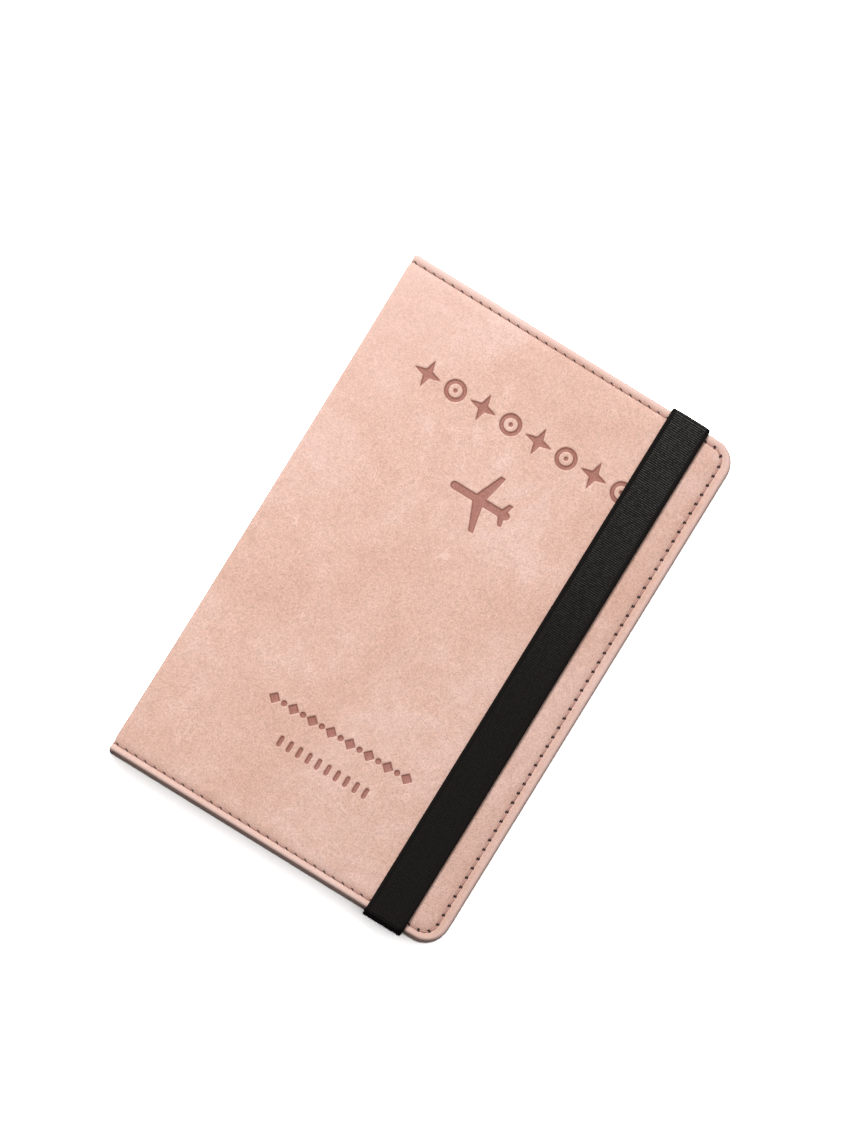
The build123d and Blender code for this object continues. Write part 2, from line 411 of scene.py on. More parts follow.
# %% Group: plain weave
weave, given, result = start_group(
    "Plain weave",
    [("Vector", VECTOR, None), ("Thread", FLOAT, 0.35)],
    [("Height", FLOAT), ("Shade", FLOAT)],
)
split = add(weave, "ShaderNodeSeparateXYZ", {"Vector": given["Vector"]})
angle = math_node(weave, "DIVIDE", math.pi, given["Thread"])
warp = math_node(weave, "SINE", math_node(weave, "MULTIPLY", split.outputs["X"], angle))
weft = math_node(weave, "SINE", math_node(weave, "MULTIPLY", split.outputs["Y"], angle))
over = math_node(weave, "MULTIPLY", warp, weft)
uneven = add(weave, "ShaderNodeTexNoise", {
    "Vector": given["Vector"], "Scale": 1.4, "Detail": 3.0})
cloth_height = math_node(weave, "ADD", math_node(weave, "MULTIPLY", over, 0.5),
                         uneven.outputs["Fac"])
shade = math_node(weave, "ADD", math_node(weave, "MULTIPLY", over, 0.18),
                  math_node(weave, "MULTIPLY", uneven.outputs["Fac"], 0.8), clamp=True)
weave.links.new(cloth_height, result.inputs["Height"])
weave.links.new(shade, result.inputs["Shade"])
print("made group", weave.name)

# %% [markdown]
# ## Starting a material
# Every material here has one Principled shader. Numbers that are the same all over, such
# as sheen, are set on the shader itself. Patterns that follow the piece read an attribute
# called rest, the vertex's place in millimetres when the holder is closed, so they
# don't slide when a fold moves.

# %% Material helper
def start_material(name, roughness=0.6, sheen=0.0, specular=0.35):
    """A new material; returns it, its tree and its shader."""
    material = bpy.data.materials.new(name)
    material.use_nodes = True
    tree = material.node_tree
    shader = tree.nodes["Principled BSDF"]
    shader.inputs["Roughness"].default_value = roughness
    shader.inputs["Sheen Weight"].default_value = sheen
    shader.inputs["Sheen Roughness"].default_value = 0.5
    shader.inputs["Specular IOR Level"].default_value = specular
    return material, tree, shader


def attribute(tree, name, output="Fac"):
    """A vertex attribute, as a number or a vector."""
    return add(tree, "ShaderNodeAttribute", attribute_name=name).outputs[output]


def bump(tree, shader, value, depth, strength=1.0):
    """Sends a height to the shader's normal. Depth is in metres."""
    node = add(tree, "ShaderNodeBump",
               {"Height": value, "Distance": depth, "Strength": strength})
    tree.links.new(node.outputs["Normal"], shader.inputs["Normal"])


# %% [markdown]
# ## Outer leather
# The debossed marks were pressed with a hot die, which turns the leather a deeper
# rose and leaves it smoother. The vertices carry a signed distance to the nearest mark,
# so the colour changes exactly at the edge of the die, and a thin band of painted shade
# lies along the die's walls. Along the rim the colour is painted paler, a painted
# highlight where the rolled edge catches the light. Near the top of the spine it is
# painted paler still as painted light from the lamp's side, and towards the opening it is
# painted a shade deeper as painted shade on the side away from the lamp. The seam's groove
# is darkened with painted shade. The needle left round holes along the opening and narrow
# slits along the top and the bottom, where the thread pulls them flat; they are painted
# near black as the shade inside them.

# %% Material: outer leather
LEATHER_BASE = swatch(212, 173, 157)
LEATHER_LIGHT = swatch(219, 184, 171)
LEATHER_PALE = swatch(228, 197, 188)
LEATHER_DARK = swatch(207, 166, 149)
# The needle holes' colour is painted shade: near black for the shade inside each hole.
NEEDLE_HOLE_SHADE = swatch(36, 15, 13)

outer_leather, tree, shader = start_material("outer_leather", 0.6, 0.12, 0.3)
rest = attribute(tree, "rest", "Vector")
tinted = use_group(tree, clouds, {
    "Vector": rest, "Cloud Size": 26.0, "Base": LEATHER_BASE, "Light": LEATHER_LIGHT,
    "Dark": LEATHER_DARK, "Fleck": 0.145, "Vein": 1.0})
skin_grain = use_group(tree, grain, {"Vector": rest, "Plate Size": 0.62, "Nap": 0.6})
inset = attribute(tree, "inset")
places = add(tree, "ShaderNodeSeparateXYZ", {"Vector": rest})
place_x = places.outputs["X"]
marks_here = use_group(tree, seam_marks, {
    "Aside": attribute(tree, "aside"), "Along": attribute(tree, "seam"),
    "Hole Length": ramp(tree, place_x, 36.0, 42.0, 0.60, 0.50),
    "Hole Width": ramp(tree, place_x, 36.0, 42.0, 0.19, 0.42)})
colour = mix_colour(tree, math_node(tree, "MULTIPLY", skin_grain.outputs["Cracks"], 0.16),
                    tinted.outputs["Color"], LEATHER_DARK)
# Painted highlight: the rim is painted paler where the rolled edge catches the light.
paler_rim = ramp(tree, inset, 2.1, 0.6, 0.0, 0.6)
colour = mix_colour(tree, paler_rim, colour, LEATHER_PALE)
# Painted light: paler towards the top of the spine, the side the lamp stands on.
painted_light_near_spine_top = ramp(tree, math_node(tree, "SUBTRACT", math_node(
    tree, "MULTIPLY", places.outputs["Y"], 0.6), place_x), 40.0, 95.0, 0.0, 0.34)
colour = mix_colour(tree, painted_light_near_spine_top, colour, LEATHER_PALE)
# Painted shade: a shade deeper towards the opening, on the side away from the lamp.
painted_shade_at_opening = ramp(tree, place_x, 18.0, 44.0)
colour = mix_colour(tree, painted_shade_at_opening, colour, (0.93, 0.91, 0.905, 1.0), "MULTIPLY")
mark = attribute(tree, "mark")
stamp = ramp(tree, mark, 0.10, -0.08)
# Painted shade: a thin darker band along the walls of each debossed mark.
painted_shade_die_wall = math_node(tree, "MULTIPLY", ramp(tree, mark, 0.14, 0.0), ramp(tree, mark, -0.45, -0.1))
colour = mix_colour(tree, stamp, colour, (0.53, 0.345, 0.33, 1.0), "MULTIPLY")
colour = mix_colour(tree, painted_shade_die_wall, colour, (0.80, 0.76, 0.75, 1.0), "MULTIPLY")
# Painted shade in the seam's groove.
painted_groove_shade = math_node(tree, "MULTIPLY", marks_here.outputs["Groove"], 0.30)
colour = mix_colour(tree, painted_groove_shade, colour, (0.62, 0.50, 0.50, 1.0), "MULTIPLY")
colour = mix_colour(tree, marks_here.outputs["Hole"], colour, NEEDLE_HOLE_SHADE)
tree.links.new(colour, shader.inputs["Base Color"])
matt = math_node(tree, "ADD", 0.50, math_node(tree, "MULTIPLY", tinted.outputs["Tone"], 0.2))
matt = math_node(tree, "SUBTRACT", matt, math_node(tree, "MULTIPLY", stamp, 0.12))
tree.links.new(matt, shader.inputs["Roughness"])
relief = math_node(tree, "SUBTRACT", skin_grain.outputs["Height"],
                   math_node(tree, "MULTIPLY", marks_here.outputs["Hole"], 4.0))
relief = math_node(tree, "SUBTRACT", relief,
                   math_node(tree, "MULTIPLY", tinted.outputs["Vein Mask"], 0.6))
bump(tree, shader, relief, 0.05 * MM, 0.8)
print("made material", outer_leather.name)

# %% [markdown]
# ## Pocket leather, lining, thread and elastic
# The pockets are cut from the same leather, a shade flatter because nobody brushed the
# inside. The lining is cloth in the same family of pinks. The thread is a twisted mauve
# polyester, and its twist is a fine slanted wave. The elastic is black, with ribs half a
# millimetre apart between two smooth selvedges. Its ribs are broken up by the single
# yarns, and their crests are painted grey as a painted highlight, stronger towards the
# top, where the light falls.

# %% Material: pocket leather
pocket_leather, tree, shader = start_material("pocket_leather", 0.62, 0.1, 0.3)
rest = attribute(tree, "rest", "Vector")
tinted = use_group(tree, clouds, {
    "Vector": rest, "Cloud Size": 17.0, "Base": swatch(210, 171, 156),
    "Light": swatch(218, 183, 169), "Dark": swatch(203, 161, 146), "Fleck": 0.10, "Vein": 0.3})
skin_grain = use_group(tree, grain, {"Vector": rest, "Plate Size": 0.7, "Nap": 0.5})
colour = mix_colour(tree, math_node(tree, "MULTIPLY", skin_grain.outputs["Cracks"], 0.2),
                    tinted.outputs["Color"], swatch(184, 140, 126))
paler_rim = ramp(tree, attribute(tree, "inset"), 1.2, 0.1, 0.0, 0.35)
colour = mix_colour(tree, paler_rim, colour, LEATHER_LIGHT)
tree.links.new(colour, shader.inputs["Base Color"])
bump(tree, shader, skin_grain.outputs["Height"], 0.05 * MM, 0.8)

# %% Material: lining cloth
lining_cloth, tree, shader = start_material("lining_cloth", 0.8, 0.3, 0.2)
rest = attribute(tree, "rest", "Vector")
cloth = use_group(tree, weave, {"Vector": rest, "Thread": 0.30})
colour = mix_colour(tree, cloth.outputs["Shade"], swatch(186, 144, 133), swatch(210, 172, 161))
tree.links.new(colour, shader.inputs["Base Color"])
bump(tree, shader, cloth.outputs["Height"], 0.06 * MM, 0.9)

# %% Material: sewing thread
sewing_thread, tree, shader = start_material("sewing_thread", 0.55, 0.2, 0.4)
twist = math_node(tree, "SINE", math_node(
    tree, "ADD", math_node(tree, "MULTIPLY", attribute(tree, "seam"), 14.0),
    math_node(tree, "MULTIPLY", attribute(tree, "round"), 2 * math.pi)))
twist_mask = math_node(tree, "ADD", math_node(tree, "MULTIPLY", twist, 0.5), 0.5)
colour = mix_colour(tree, twist_mask, swatch(158, 112, 103), swatch(206, 163, 150))
tree.links.new(colour, shader.inputs["Base Color"])
bump(tree, shader, twist_mask, 0.04 * MM, 1.0)

# %% Material: ribbed elastic
RIB_PITCH = 0.548
ribbed_elastic, tree, shader = start_material("ribbed_elastic", 0.75, 0.0, 0.06)
along = attribute(tree, "seam")
across = attribute(tree, "inset")
waver = add(tree, "ShaderNodeTexNoise",
            {"Vector": attribute(tree, "rest", "Vector"), "Scale": 0.9, "Detail": 2.0})
shifted = math_node(tree, "ADD", along,
                    math_node(tree, "MULTIPLY", waver.outputs["Fac"], 0.22))
rib = math_node(tree, "SINE", math_node(tree, "MULTIPLY", shifted, 2 * math.pi / RIB_PITCH))
rib = math_node(tree, "ADD", math_node(tree, "MULTIPLY", rib, 0.5), 0.5)
middle = ramp(tree, across, 0.95, 1.35)
yarn = math_node(tree, "SINE", math_node(tree, "MULTIPLY", across, 2 * math.pi / 0.30))
rib = math_node(tree, "MULTIPLY", rib, math_node(
    tree, "ADD", 0.85, math_node(tree, "MULTIPLY", yarn, 0.15)))
speckle = add(tree, "ShaderNodeTexNoise", {
    "Vector": attribute(tree, "rest", "Vector"), "Scale": 2.6, "Detail": 2.0}).outputs["Fac"]
crest = math_node(tree, "MULTIPLY", math_node(tree, "POWER", rib, 2.5),
                  ramp(tree, speckle, 0.36, 0.62, 0.35, 1.25))
edge_yarn = math_node(tree, "SINE", math_node(tree, "MULTIPLY", along, 2 * math.pi / 0.55))
edge_part = math_node(tree, "MULTIPLY", math_node(tree, "SUBTRACT", 1.0, middle),
                      math_node(tree, "ADD", 0.35, math_node(tree, "MULTIPLY", edge_yarn, 0.08)))
weave_height = math_node(tree, "ADD", math_node(tree, "MULTIPLY", rib, middle), edge_part)
place_y = add(tree, "ShaderNodeSeparateXYZ", {"Vector": attribute(tree, "rest", "Vector")})
# Painted highlight: rib crests painted grey, more strongly towards the top, where the light falls.
painted_light_towards_top = ramp(tree, place_y.outputs["Y"], -20.0, 76.0, 0.14, 0.9)
painted_rib_highlight = math_node(tree, "MULTIPLY", math_node(tree, "MULTIPLY", crest, middle), painted_light_towards_top)
colour = mix_colour(tree, painted_rib_highlight, swatch(21, 18, 17), swatch(92, 91, 90))
tree.links.new(colour, shader.inputs["Base Color"])
bump(tree, shader, weave_height, 0.12 * MM, 1.0)
print("made", pocket_leather.name, lining_cloth.name, sewing_thread.name, ribbed_elastic.name)

# %% [markdown]
# ## Measuring on the cover's outline
# Three functions answer the questions that every piece asks of a point: how far is it
# from the cover's edge, how far along the seam, and where does a square grid point go
# when the corners at the opening side are rounded. They work on whole arrays at once.

# %% Outline helpers
def edge_distance(x, y):
    """How far inside the outline a point lies. The spine side doesn't count."""
    across = x - (RIGHT - CORNER)
    up = np.abs(y) - (HALF - CORNER)
    straight = np.minimum(RIGHT - x, HALF - np.abs(y))
    rounded = CORNER - np.hypot(across, up)
    return np.where((across > 0) & (up > 0), rounded, straight)


def seam_distance(x, y):
    """How far inside the seam line a point lies. Outside it is negative."""
    across = x - TURN_X
    up = np.abs(y) - TURN_Y
    straight = np.minimum(TURN - across, TURN - up)
    return np.where((across > 0) & (up > 0), TURN - np.hypot(across, up), straight)


def seam_position(x, y):
    """How far along the seam a point lies, from the spine at the top, round to the bottom."""
    across = x - TURN_X
    up = np.abs(y) - TURN_Y
    corner = (across > 0) & (up > 0)
    side = (across > 0) & ~corner
    turned = np.arctan2(np.maximum(across, 0), np.maximum(up, 1e-9))
    place = np.where(corner, RUN_X + TURN * turned, x - LEFT)
    place = np.where(side, RUN_X + ARC - up, place)
    return np.where(y > 0, place, SEAM_LENGTH - place)


def round_corners(x, y, margin=0.0):
    """Moves the points of a square grid so that its opening-side corners are round."""
    r = CORNER - margin
    a = np.clip((x - (RIGHT - CORNER)) / r, 0, 1)
    b = np.clip((np.abs(y) - (HALF - CORNER)) / r, 0, 1)
    new_x = np.where(a > 0, RIGHT - CORNER + r * a * np.sqrt(1 - b * b / 2), x)
    new_y = np.where(b > 0, HALF - CORNER + r * b * np.sqrt(1 - a * a / 2), np.abs(y))
    return new_x, np.where(y < 0, -new_y, new_y)


def lines(start, *stretches):
    """Grid lines from a start value: each stretch is (its end, the spacing wanted)."""
    values = [start]
    for end, step in stretches:
        count = max(1, round((end - values[-1]) / step))
        values.extend(np.linspace(values[-1], end, count + 1)[1:])
    return np.array(values)


print("distance at the middle:", float(edge_distance(np.array(0.0), np.array(0.0))))

# %% [markdown]
# ## The leather's cross-section at the edge
# Going outwards from the middle, the padded face sinks to the seam, rises again into a
# small welt and then rolls over the edge. This is one curve of height against distance
# from the edge. All outer leather uses it, so the covers and the spine meet cleanly.

# %% Edge profile
ROLL = 0.95
GROOVE_SOFT, GROOVE_SOFT_WIDTH = 0.24, 1.15
GROOVE_SHARP, GROOVE_SHARP_WIDTH = 0.22, 0.34
SWELL = 0.10 * MM
SWELL_MARGIN = 9 * MM
SWELL_RNG = np.random.default_rng(7)
SWELLS = [(SWELL_RNG.uniform(0, 2 * math.pi), SWELL_RNG.uniform(17, 46),
           SWELL_RNG.uniform(0, 2 * math.pi)) for _ in range(7)]


def edge_profile(distance, aside):
    """Height of the leather against its nominal face, in metres."""
    turn = 1 - np.clip(distance / MM / ROLL, 0, 1)
    height = -ROLL * (1 - np.sqrt(1 - turn * turn))
    height = height - GROOVE_SOFT * np.exp(-(aside / MM / GROOVE_SOFT_WIDTH) ** 2)
    height = height - GROOVE_SHARP * np.exp(-(aside / MM / GROOVE_SHARP_WIDTH) ** 2)
    return height * MM


def soft_swell(x, y):
    """Slow waves of a few hundredths of a millimetre, as padded leather has."""
    total = np.zeros_like(x)
    for direction, length, phase in SWELLS:
        run = (x * math.cos(direction) + y * math.sin(direction)) / MM
        total = total + np.sin(2 * math.pi * run / length + phase)
    return total / len(SWELLS) * SWELL


def away_from_rims(x, y):
    """0 at the edge and at the fold, rising smoothly to 1 inside the face."""
    inner = np.clip(np.minimum(edge_distance(x, y), x - FOLD_START) / SWELL_MARGIN, 0, 1)
    return inner * inner * (3 - 2 * inner)


tests = np.array([0, 0.7, 2.1, 4, 9]) * MM
depths = [round(1000 * float(v), 2) for v in edge_profile(tests, tests - SEAM)]
print("height in mm at 0, 0.7, 2.1, 4 and 9 mm from the edge:", depths)

# %% [markdown]
# ## The debossed marks
# The front carries a row of stars and rings, a little aeroplane and two rows of beads
# and dashes. Each is written as a signed distance: negative inside the mark, positive
# outside, zero on its edge. Distances join with a minimum, they bend the mesh softly at
# the die's edge, and they colour the stamp without any texture image.

# %% Shapes as signed distances
def polygon_distance(x, y, corners):
    """Signed distance to a polygon, in the units of its corners."""
    best = np.full(x.shape, np.inf)
    inside = np.zeros(x.shape, bool)
    for (ax, ay), (bx, by) in zip(corners, corners[1:] + corners[:1]):
        ex, ey = bx - ax, by - ay
        t = np.clip(((x - ax) * ex + (y - ay) * ey) / (ex * ex + ey * ey), 0, 1)
        best = np.minimum(best, np.hypot(x - ax - t * ex, y - ay - t * ey))
        if ey:
            inside ^= ((y < ay) != (y < by)) & (x < ax + (y - ay) / ey * ex)
    return np.where(inside, -best, best)


def star_distance(x, y, size=8.0):
    """Four-pointed star with hollow sides."""
    tip, waist = size / 2, size / 9
    ring = [(0, tip), (-waist, waist), (-tip, 0), (-waist, -waist),
            (0, -tip), (waist, -waist), (tip, 0), (waist, waist)]
    return polygon_distance(x, y, ring)


def ring_distance(x, y, size=8.0, line=1.1):
    """Ring with a dot in its middle."""
    from_middle = np.hypot(x, y)
    band = np.abs(from_middle - (size * 0.36 - line / 2)) - line / 2
    return np.minimum(band, from_middle - line / 2)


def plane_distance(x, y, length=17.0, span=16.0):
    """Plan view of a small aeroplane that flies towards the spine."""
    nose, tip = length / 2, span / 2
    body_radius = length * 0.06
    stem = np.abs(x) - (nose - body_radius)
    shape = np.hypot(np.maximum(stem, 0), y) - body_radius
    wing = [(-0.24, 0.0), (0.16, 1.0), (0.32, 1.0), (0.12, 0.0)]
    tail = [(0.62, 0.0), (0.80, 0.38), (0.93, 0.38), (0.84, 0.0)]
    for surface in (wing, tail):
        outline = [(nose * px, tip * py) for px, py in surface]
        shape = np.minimum(shape, polygon_distance(x, np.abs(y), outline))
    return shape


def diamond_distance(x, y, half=1.6):
    """Bead cut as a diamond."""
    return (np.abs(x) + np.abs(y) - half) / math.sqrt(2)


def dot_distance(x, y, radius=0.77):
    """Round bead."""
    return np.hypot(x, y) - radius


def dash_distance(x, y, half=0.95, radius=0.55):
    """Upright dash with round ends."""
    return np.hypot(x, np.maximum(np.abs(y) - half, 0)) - radius


# %% Placing the marks on the front
STARS, STAR_PITCH, STAR_ROW, STAR_SHIFT = 8, 8.1, 24.2, -0.9
PLANE_ROW, PLANE_SHIFT = 44.5, -1.5
BEADS_IN_ROW, DASHES_IN_ROW, SMALL_PITCH = 15, 10, 2.75
BEAD_ROW, DASH_ROW = 32.6, 24.1
PLANE_REACH, STAR_REACH, SMALL_REACH = 10.0, 5.2, 2.6
NO_MARK = 5.0


def mark_jobs():
    """Every mark as its shape, its centre and how far it reaches, in millimetres."""
    top, bottom = HALF / MM, -HALF / MM
    jobs = [(plane_distance, PLANE_SHIFT, top - PLANE_ROW, PLANE_REACH)]
    for i in range(STARS):
        shape = ring_distance if i % 2 else star_distance
        across = STAR_SHIFT + (i - (STARS - 1) / 2) * STAR_PITCH
        jobs.append((shape, across, top - STAR_ROW, STAR_REACH))
    for i in range(BEADS_IN_ROW):
        shape = dot_distance if i % 2 else diamond_distance
        across = (i - (BEADS_IN_ROW - 1) / 2) * SMALL_PITCH
        jobs.append((shape, across, bottom + BEAD_ROW, SMALL_REACH))
    for i in range(DASHES_IN_ROW):
        across = (i - (DASHES_IN_ROW - 1) / 2) * SMALL_PITCH
        jobs.append((dash_distance, across, bottom + DASH_ROW, SMALL_REACH))
    return jobs


def mark_distance(x, y):
    """Signed distance in millimetres to the nearest debossed mark."""
    px, py = x / MM, y / MM
    found = np.full(x.shape, NO_MARK)
    for shape, cx, cy, reach_mm in mark_jobs():
        near_it = (np.abs(px - cx) < reach_mm) & (np.abs(py - cy) < reach_mm)
        found[near_it] = np.minimum(found[near_it], shape(px[near_it] - cx, py[near_it] - cy))
    return found


print("marks on the front:", len(mark_jobs()))

# %% [markdown]
# ## From arrays to meshes
# Grids made with numpy become Blender meshes through one door. It stores the attributes
# that the materials read, turns all faces outwards, and shades them smooth except the
# flat faces that close an end.

# %% Mesh helper
def make_piece(name, points, faces, flat=(), **attributes):
    """A mesh object from points, faces and per-vertex numbers."""
    mesh = bpy.data.meshes.new(name)
    mesh.from_pydata(points.tolist(), [], faces)
    for key, values in attributes.items():
        layer = mesh.attributes.new(key, "FLOAT", "POINT")
        layer.data.foreach_set("value", np.asarray(values, np.float32))
    rest_layer = mesh.attributes.new("rest", "FLOAT_VECTOR", "POINT")
    rest_layer.data.foreach_set("vector", (points / MM).astype(np.float32).ravel())
    smooth = np.ones(len(mesh.polygons), bool)
    smooth[list(flat)] = False
    mesh.polygons.foreach_set("use_smooth", smooth)
    sculpt = bmesh.new()
    sculpt.from_mesh(mesh)
    bmesh.ops.recalc_face_normals(sculpt, faces=sculpt.faces)
    sculpt.faces.ensure_lookup_table()
    for face in [sculpt.faces[i] for i in flat]:
        for edge in face.edges:
            edge.smooth = False
    sculpt.to_mesh(mesh)
    sculpt.free()
    mesh.validate()
    piece = bpy.data.objects.new(name, mesh)
    bpy.context.scene.collection.objects.link(piece)
    print(f"{name}: {len(mesh.vertices)} vertices, {len(mesh.polygons)} faces")
    return piece


def grid_faces(rows, columns, first=0):
    """Quads of a grid whose points are stored row by row."""
    faces = []
    for i in range(rows - 1):
        a = first + i * columns
        faces.extend((a + j, a + j + 1, a + columns + j + 1, a + columns + j)
                     for j in range(columns - 1))
    return faces


# %% [markdown]
# ## Wrapping the leather round the fold
# The real leather is one sheet that wraps from cover to cover. It opens by bending along
# two lines, one at each cover. So it is made as two halves that meet halfway up the
# spine. A half is drawn flat, as a leather cutter would, and then wrapped: beyond the
# cover it follows a path round the fold and straight down the spine.

# %% Path round a fold
FOLD_RADIUS = 0.9 * MM
BOW = 0.30 * MM
GO_FLAT = FOLD_START - LEFT - FOLD_RADIUS
GO_ROUND = FOLD_RADIUS * math.pi / 2
FOLD_LENGTH = GO_FLAT + GO_ROUND + TOP / 2 - FOLD_RADIUS
print(f"each half of the spine takes {1000 * FOLD_LENGTH:.2f} mm of leather")


def wrap_leather(x, y, lift, facing):
    """Places a point of the flat pattern. lift is its height over the outer face."""
    run = FOLD_START - x
    turn = np.clip((run - GO_FLAT) / FOLD_RADIUS, 0, math.pi / 2)
    down = np.maximum(run - GO_FLAT - GO_ROUND, 0)
    flat_x = np.where(run > GO_FLAT, LEFT + FOLD_RADIUS, x)
    nx, nz = -np.sin(turn), np.cos(turn)
    bow = BOW * np.clip(run / (GO_FLAT + GO_ROUND), 0, 1) ** 2 * (1 - (np.abs(y) / HALF) ** 4)
    new_x = np.maximum(flat_x + (FOLD_RADIUS + lift) * nx, LEFT - lift) + bow
    new_z = TOP - FOLD_RADIUS + (FOLD_RADIUS + lift) * nz - down
    new_z = np.minimum(new_z, TOP + lift)
    return np.stack([new_x, y, new_z if facing > 0 else TOP - new_z], -1)


def fold_blend(piece):
    """Bakes a piece's transform into its mesh; it doesn't bend the piece.
    """
    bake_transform(piece)


# %% [markdown]
# ## The turned edge
# The leather is folded over the rim of the board and glued down behind it. In section
# the fold goes down the side, tucks under and comes back up to the inner face. The pairs
# below give that path: how far in from the edge, and how deep under the outer face. On
# the spine the leather is pared thinner, or it would be too stiff to fold.

# %% Turned edge and leather shell
TURNED = [(0.0, 1.22), (0.06, 1.50), (0.24, 1.76), (0.52, RIM / MM), (0.95, RIM / MM),
          (0.95, SKIN / MM)]
PARED = 0.76
CROWN = 0.03 * MM
DIE_DEPTH, DIE_LIP = 0.27 * MM, 0.03 * MM
DIE_EDGE, DIE_SLOPE = 0.10, 0.36
LIP_OUT, LIP_WIDTH = 0.42, 0.25
NOTCH_BEYOND = 70 * MM
OFF_SEAM = -5.0


def leather_shell(name, x_lines, y_lines, facing, with_marks=False, notch=None):
    """Leather of one cover and half the spine. facing is 1 for the front, -1 for the back."""
    x, y = np.meshgrid(x_lines, y_lines, indexing="ij")
    x, y = round_corners(x, y)
    distance = np.maximum(edge_distance(x, y), 0)
    aside = seam_distance(x, y)
    height = edge_profile(distance, aside)
    mark = mark_distance(x, y) if with_marks else np.full(x.shape, NO_MARK)
    if facing > 0:
        height = height + away_from_rims(x, y) * (CROWN + soft_swell(x, y))
    press = np.clip((DIE_EDGE - mark) / DIE_SLOPE, 0, 1)
    height = height - DIE_DEPTH * press * press * (3 - 2 * press)
    height = height + DIE_LIP * np.exp(-((mark - LIP_OUT) / LIP_WIDTH) ** 2)
    points = wrap_leather(x, y, height, facing).reshape(-1, 3)
    rows, columns = x.shape
    faces = grid_faces(rows, columns)
    grid = np.arange(rows * columns).reshape(rows, columns)
    chain = np.concatenate([grid[:, -1], grid[-1, -2::-1], grid[-2::-1, 0]])
    rim = np.stack([x.ravel()[chain], y.ravel()[chain]], -1)
    core = np.stack([np.minimum(rim[:, 0], RIGHT - CORNER),
                     np.clip(rim[:, 1], CORNER - HALF, HALF - CORNER)], -1)
    inward = core - rim
    inward /= np.linalg.norm(inward, axis=1, keepdims=True)
    pared = 1 - (1 - PARED) * np.clip((FOLD_START - rim[:, 0]) / GO_FLAT, 0, 1)
    rings, ring_points, last = [chain], [], len(points)
    for step, depth in TURNED:
        deep = np.maximum(depth * MM * pared, min(depth * MM, SKIN))
        if notch is not None:
            near_band = np.abs(rim[:, 0] - notch[0]) < notch[1]
            open_here = near_band & (np.abs(rim[:, 1]) > NOTCH_BEYOND)
            deep[open_here] = np.minimum(deep[open_here], SKIN)
        spot = rim + inward * step * MM
        ring_points.append(wrap_leather(spot[:, 0], spot[:, 1], -deep, facing))
        rings.append(np.arange(last, last + len(chain)))
        last += len(chain)
    for upper, lower in zip(rings, rings[1:]):
        faces.extend(zip(upper[:-1].tolist(), upper[1:].tolist(),
                         lower[1:].tolist(), lower[:-1].tolist()))
    inner = rings[-1].tolist()
    fold_rows = int(np.sum(x_lines < FOLD_START - 1e-9))
    for k in range(fold_rows):
        faces.append((inner[k], inner[k + 1], inner[-k - 2], inner[-k - 1]))
    flat = [len(faces), len(faces) + 1]
    faces.append(inner[fold_rows:len(inner) - fold_rows])
    faces.append(grid[0, :].tolist() + [int(r[0]) for r in rings[1:]]
                 + [int(r[-1]) for r in rings[:0:-1]])
    points = np.concatenate([points] + ring_points)
    extra = len(points) - distance.size
    return make_piece(
        name, points, faces, flat,
        inset=np.concatenate([distance.ravel() / MM, np.zeros(extra)]),
        seam=np.concatenate([seam_position(x, y).ravel() / MM, np.zeros(extra)]),
        aside=np.concatenate([aside.ravel() / MM, np.full(extra, OFF_SEAM)]),
        mark=np.concatenate([mark.ravel(), np.full(extra, NO_MARK)]),
    )


# %% [markdown]
# ## Front and back leather
# The grid is fine where something happens, at the seam, the fold and the marks, and
# coarse on the plain leather between. That keeps the front sharp without a million
# faces. The back is plain, and flat because it lies on the table. Its turned edge is cut
# away where the elastic comes out.

# %% Build the leather
RUN_LOW, RUN_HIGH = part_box("elastic_front_run")
BAND_X = (RUN_LOW.x + RUN_HIGH.x) / 2
BAND_HALF = (RUN_HIGH.x - RUN_LOW.x) / 2
FINE, EDGE_STEP, PLAIN = 0.28 * MM, 0.20 * MM, 0.75 * MM
EDGE_ZONE = 4.4 * MM
spine_stretches = [(FOLD_START - GO_FLAT - GO_ROUND, 0.5 * MM),
                   (FOLD_START - GO_FLAT, 0.16 * MM), (FOLD_START, 0.28 * MM)]
x_front = lines(FOLD_START - FOLD_LENGTH, *spine_stretches, (-34.2 * MM, PLAIN),
                (32.2 * MM, FINE), (RIGHT - EDGE_ZONE, PLAIN), (RIGHT, EDGE_STEP))
y_front = lines(-HALF, (-HALF + EDGE_ZONE, EDGE_STEP), (-51.2 * MM, PLAIN), (-46.6 * MM, FINE),
                (-42.6 * MM, PLAIN), (-38.2 * MM, FINE), (19.8 * MM, PLAIN),
                (37.2 * MM, FINE), (44.2 * MM, PLAIN), (53.4 * MM, FINE),
                (HALF - EDGE_ZONE, PLAIN), (HALF, EDGE_STEP))
x_back = lines(FOLD_START - FOLD_LENGTH, *spine_stretches, (RIGHT - EDGE_ZONE, 1.0 * MM),
               (RIGHT, EDGE_STEP))
y_back = lines(-HALF, (-HALF + EDGE_ZONE, EDGE_STEP), (HALF - EDGE_ZONE, 1.5 * MM),
               (HALF, EDGE_STEP))
front_leather = leather_shell("front_cover_skin", x_front, y_front, 1, with_marks=True)
back_leather = leather_shell("back_cover_skin", x_back, y_back, -1,
                             notch=(BAND_X, BAND_HALF + 0.2 * MM))
for leather, node, facing in ((front_leather, "front_cover_leather", 1),
                              (back_leather, "back_cover_leather", -1)):
    leather.data.materials.append(outer_leather)
    fold_blend(leather)
    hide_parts(node, "spine_leather")

# %% [markdown]
# ## Stitches
# Each stitch is a short piece of thread that comes up through one needle hole and goes
# down through the next, pulled tight into the groove. They are modelled one by one as
# bent tubes, a little slanted as machine stitches are. The outer rows lie in the
# leather's groove, and the inner rows lie on whatever panel is on top there.

# %% Thread helper
THREAD = 0.19 * MM
AROUND = 6
BEADS = 6


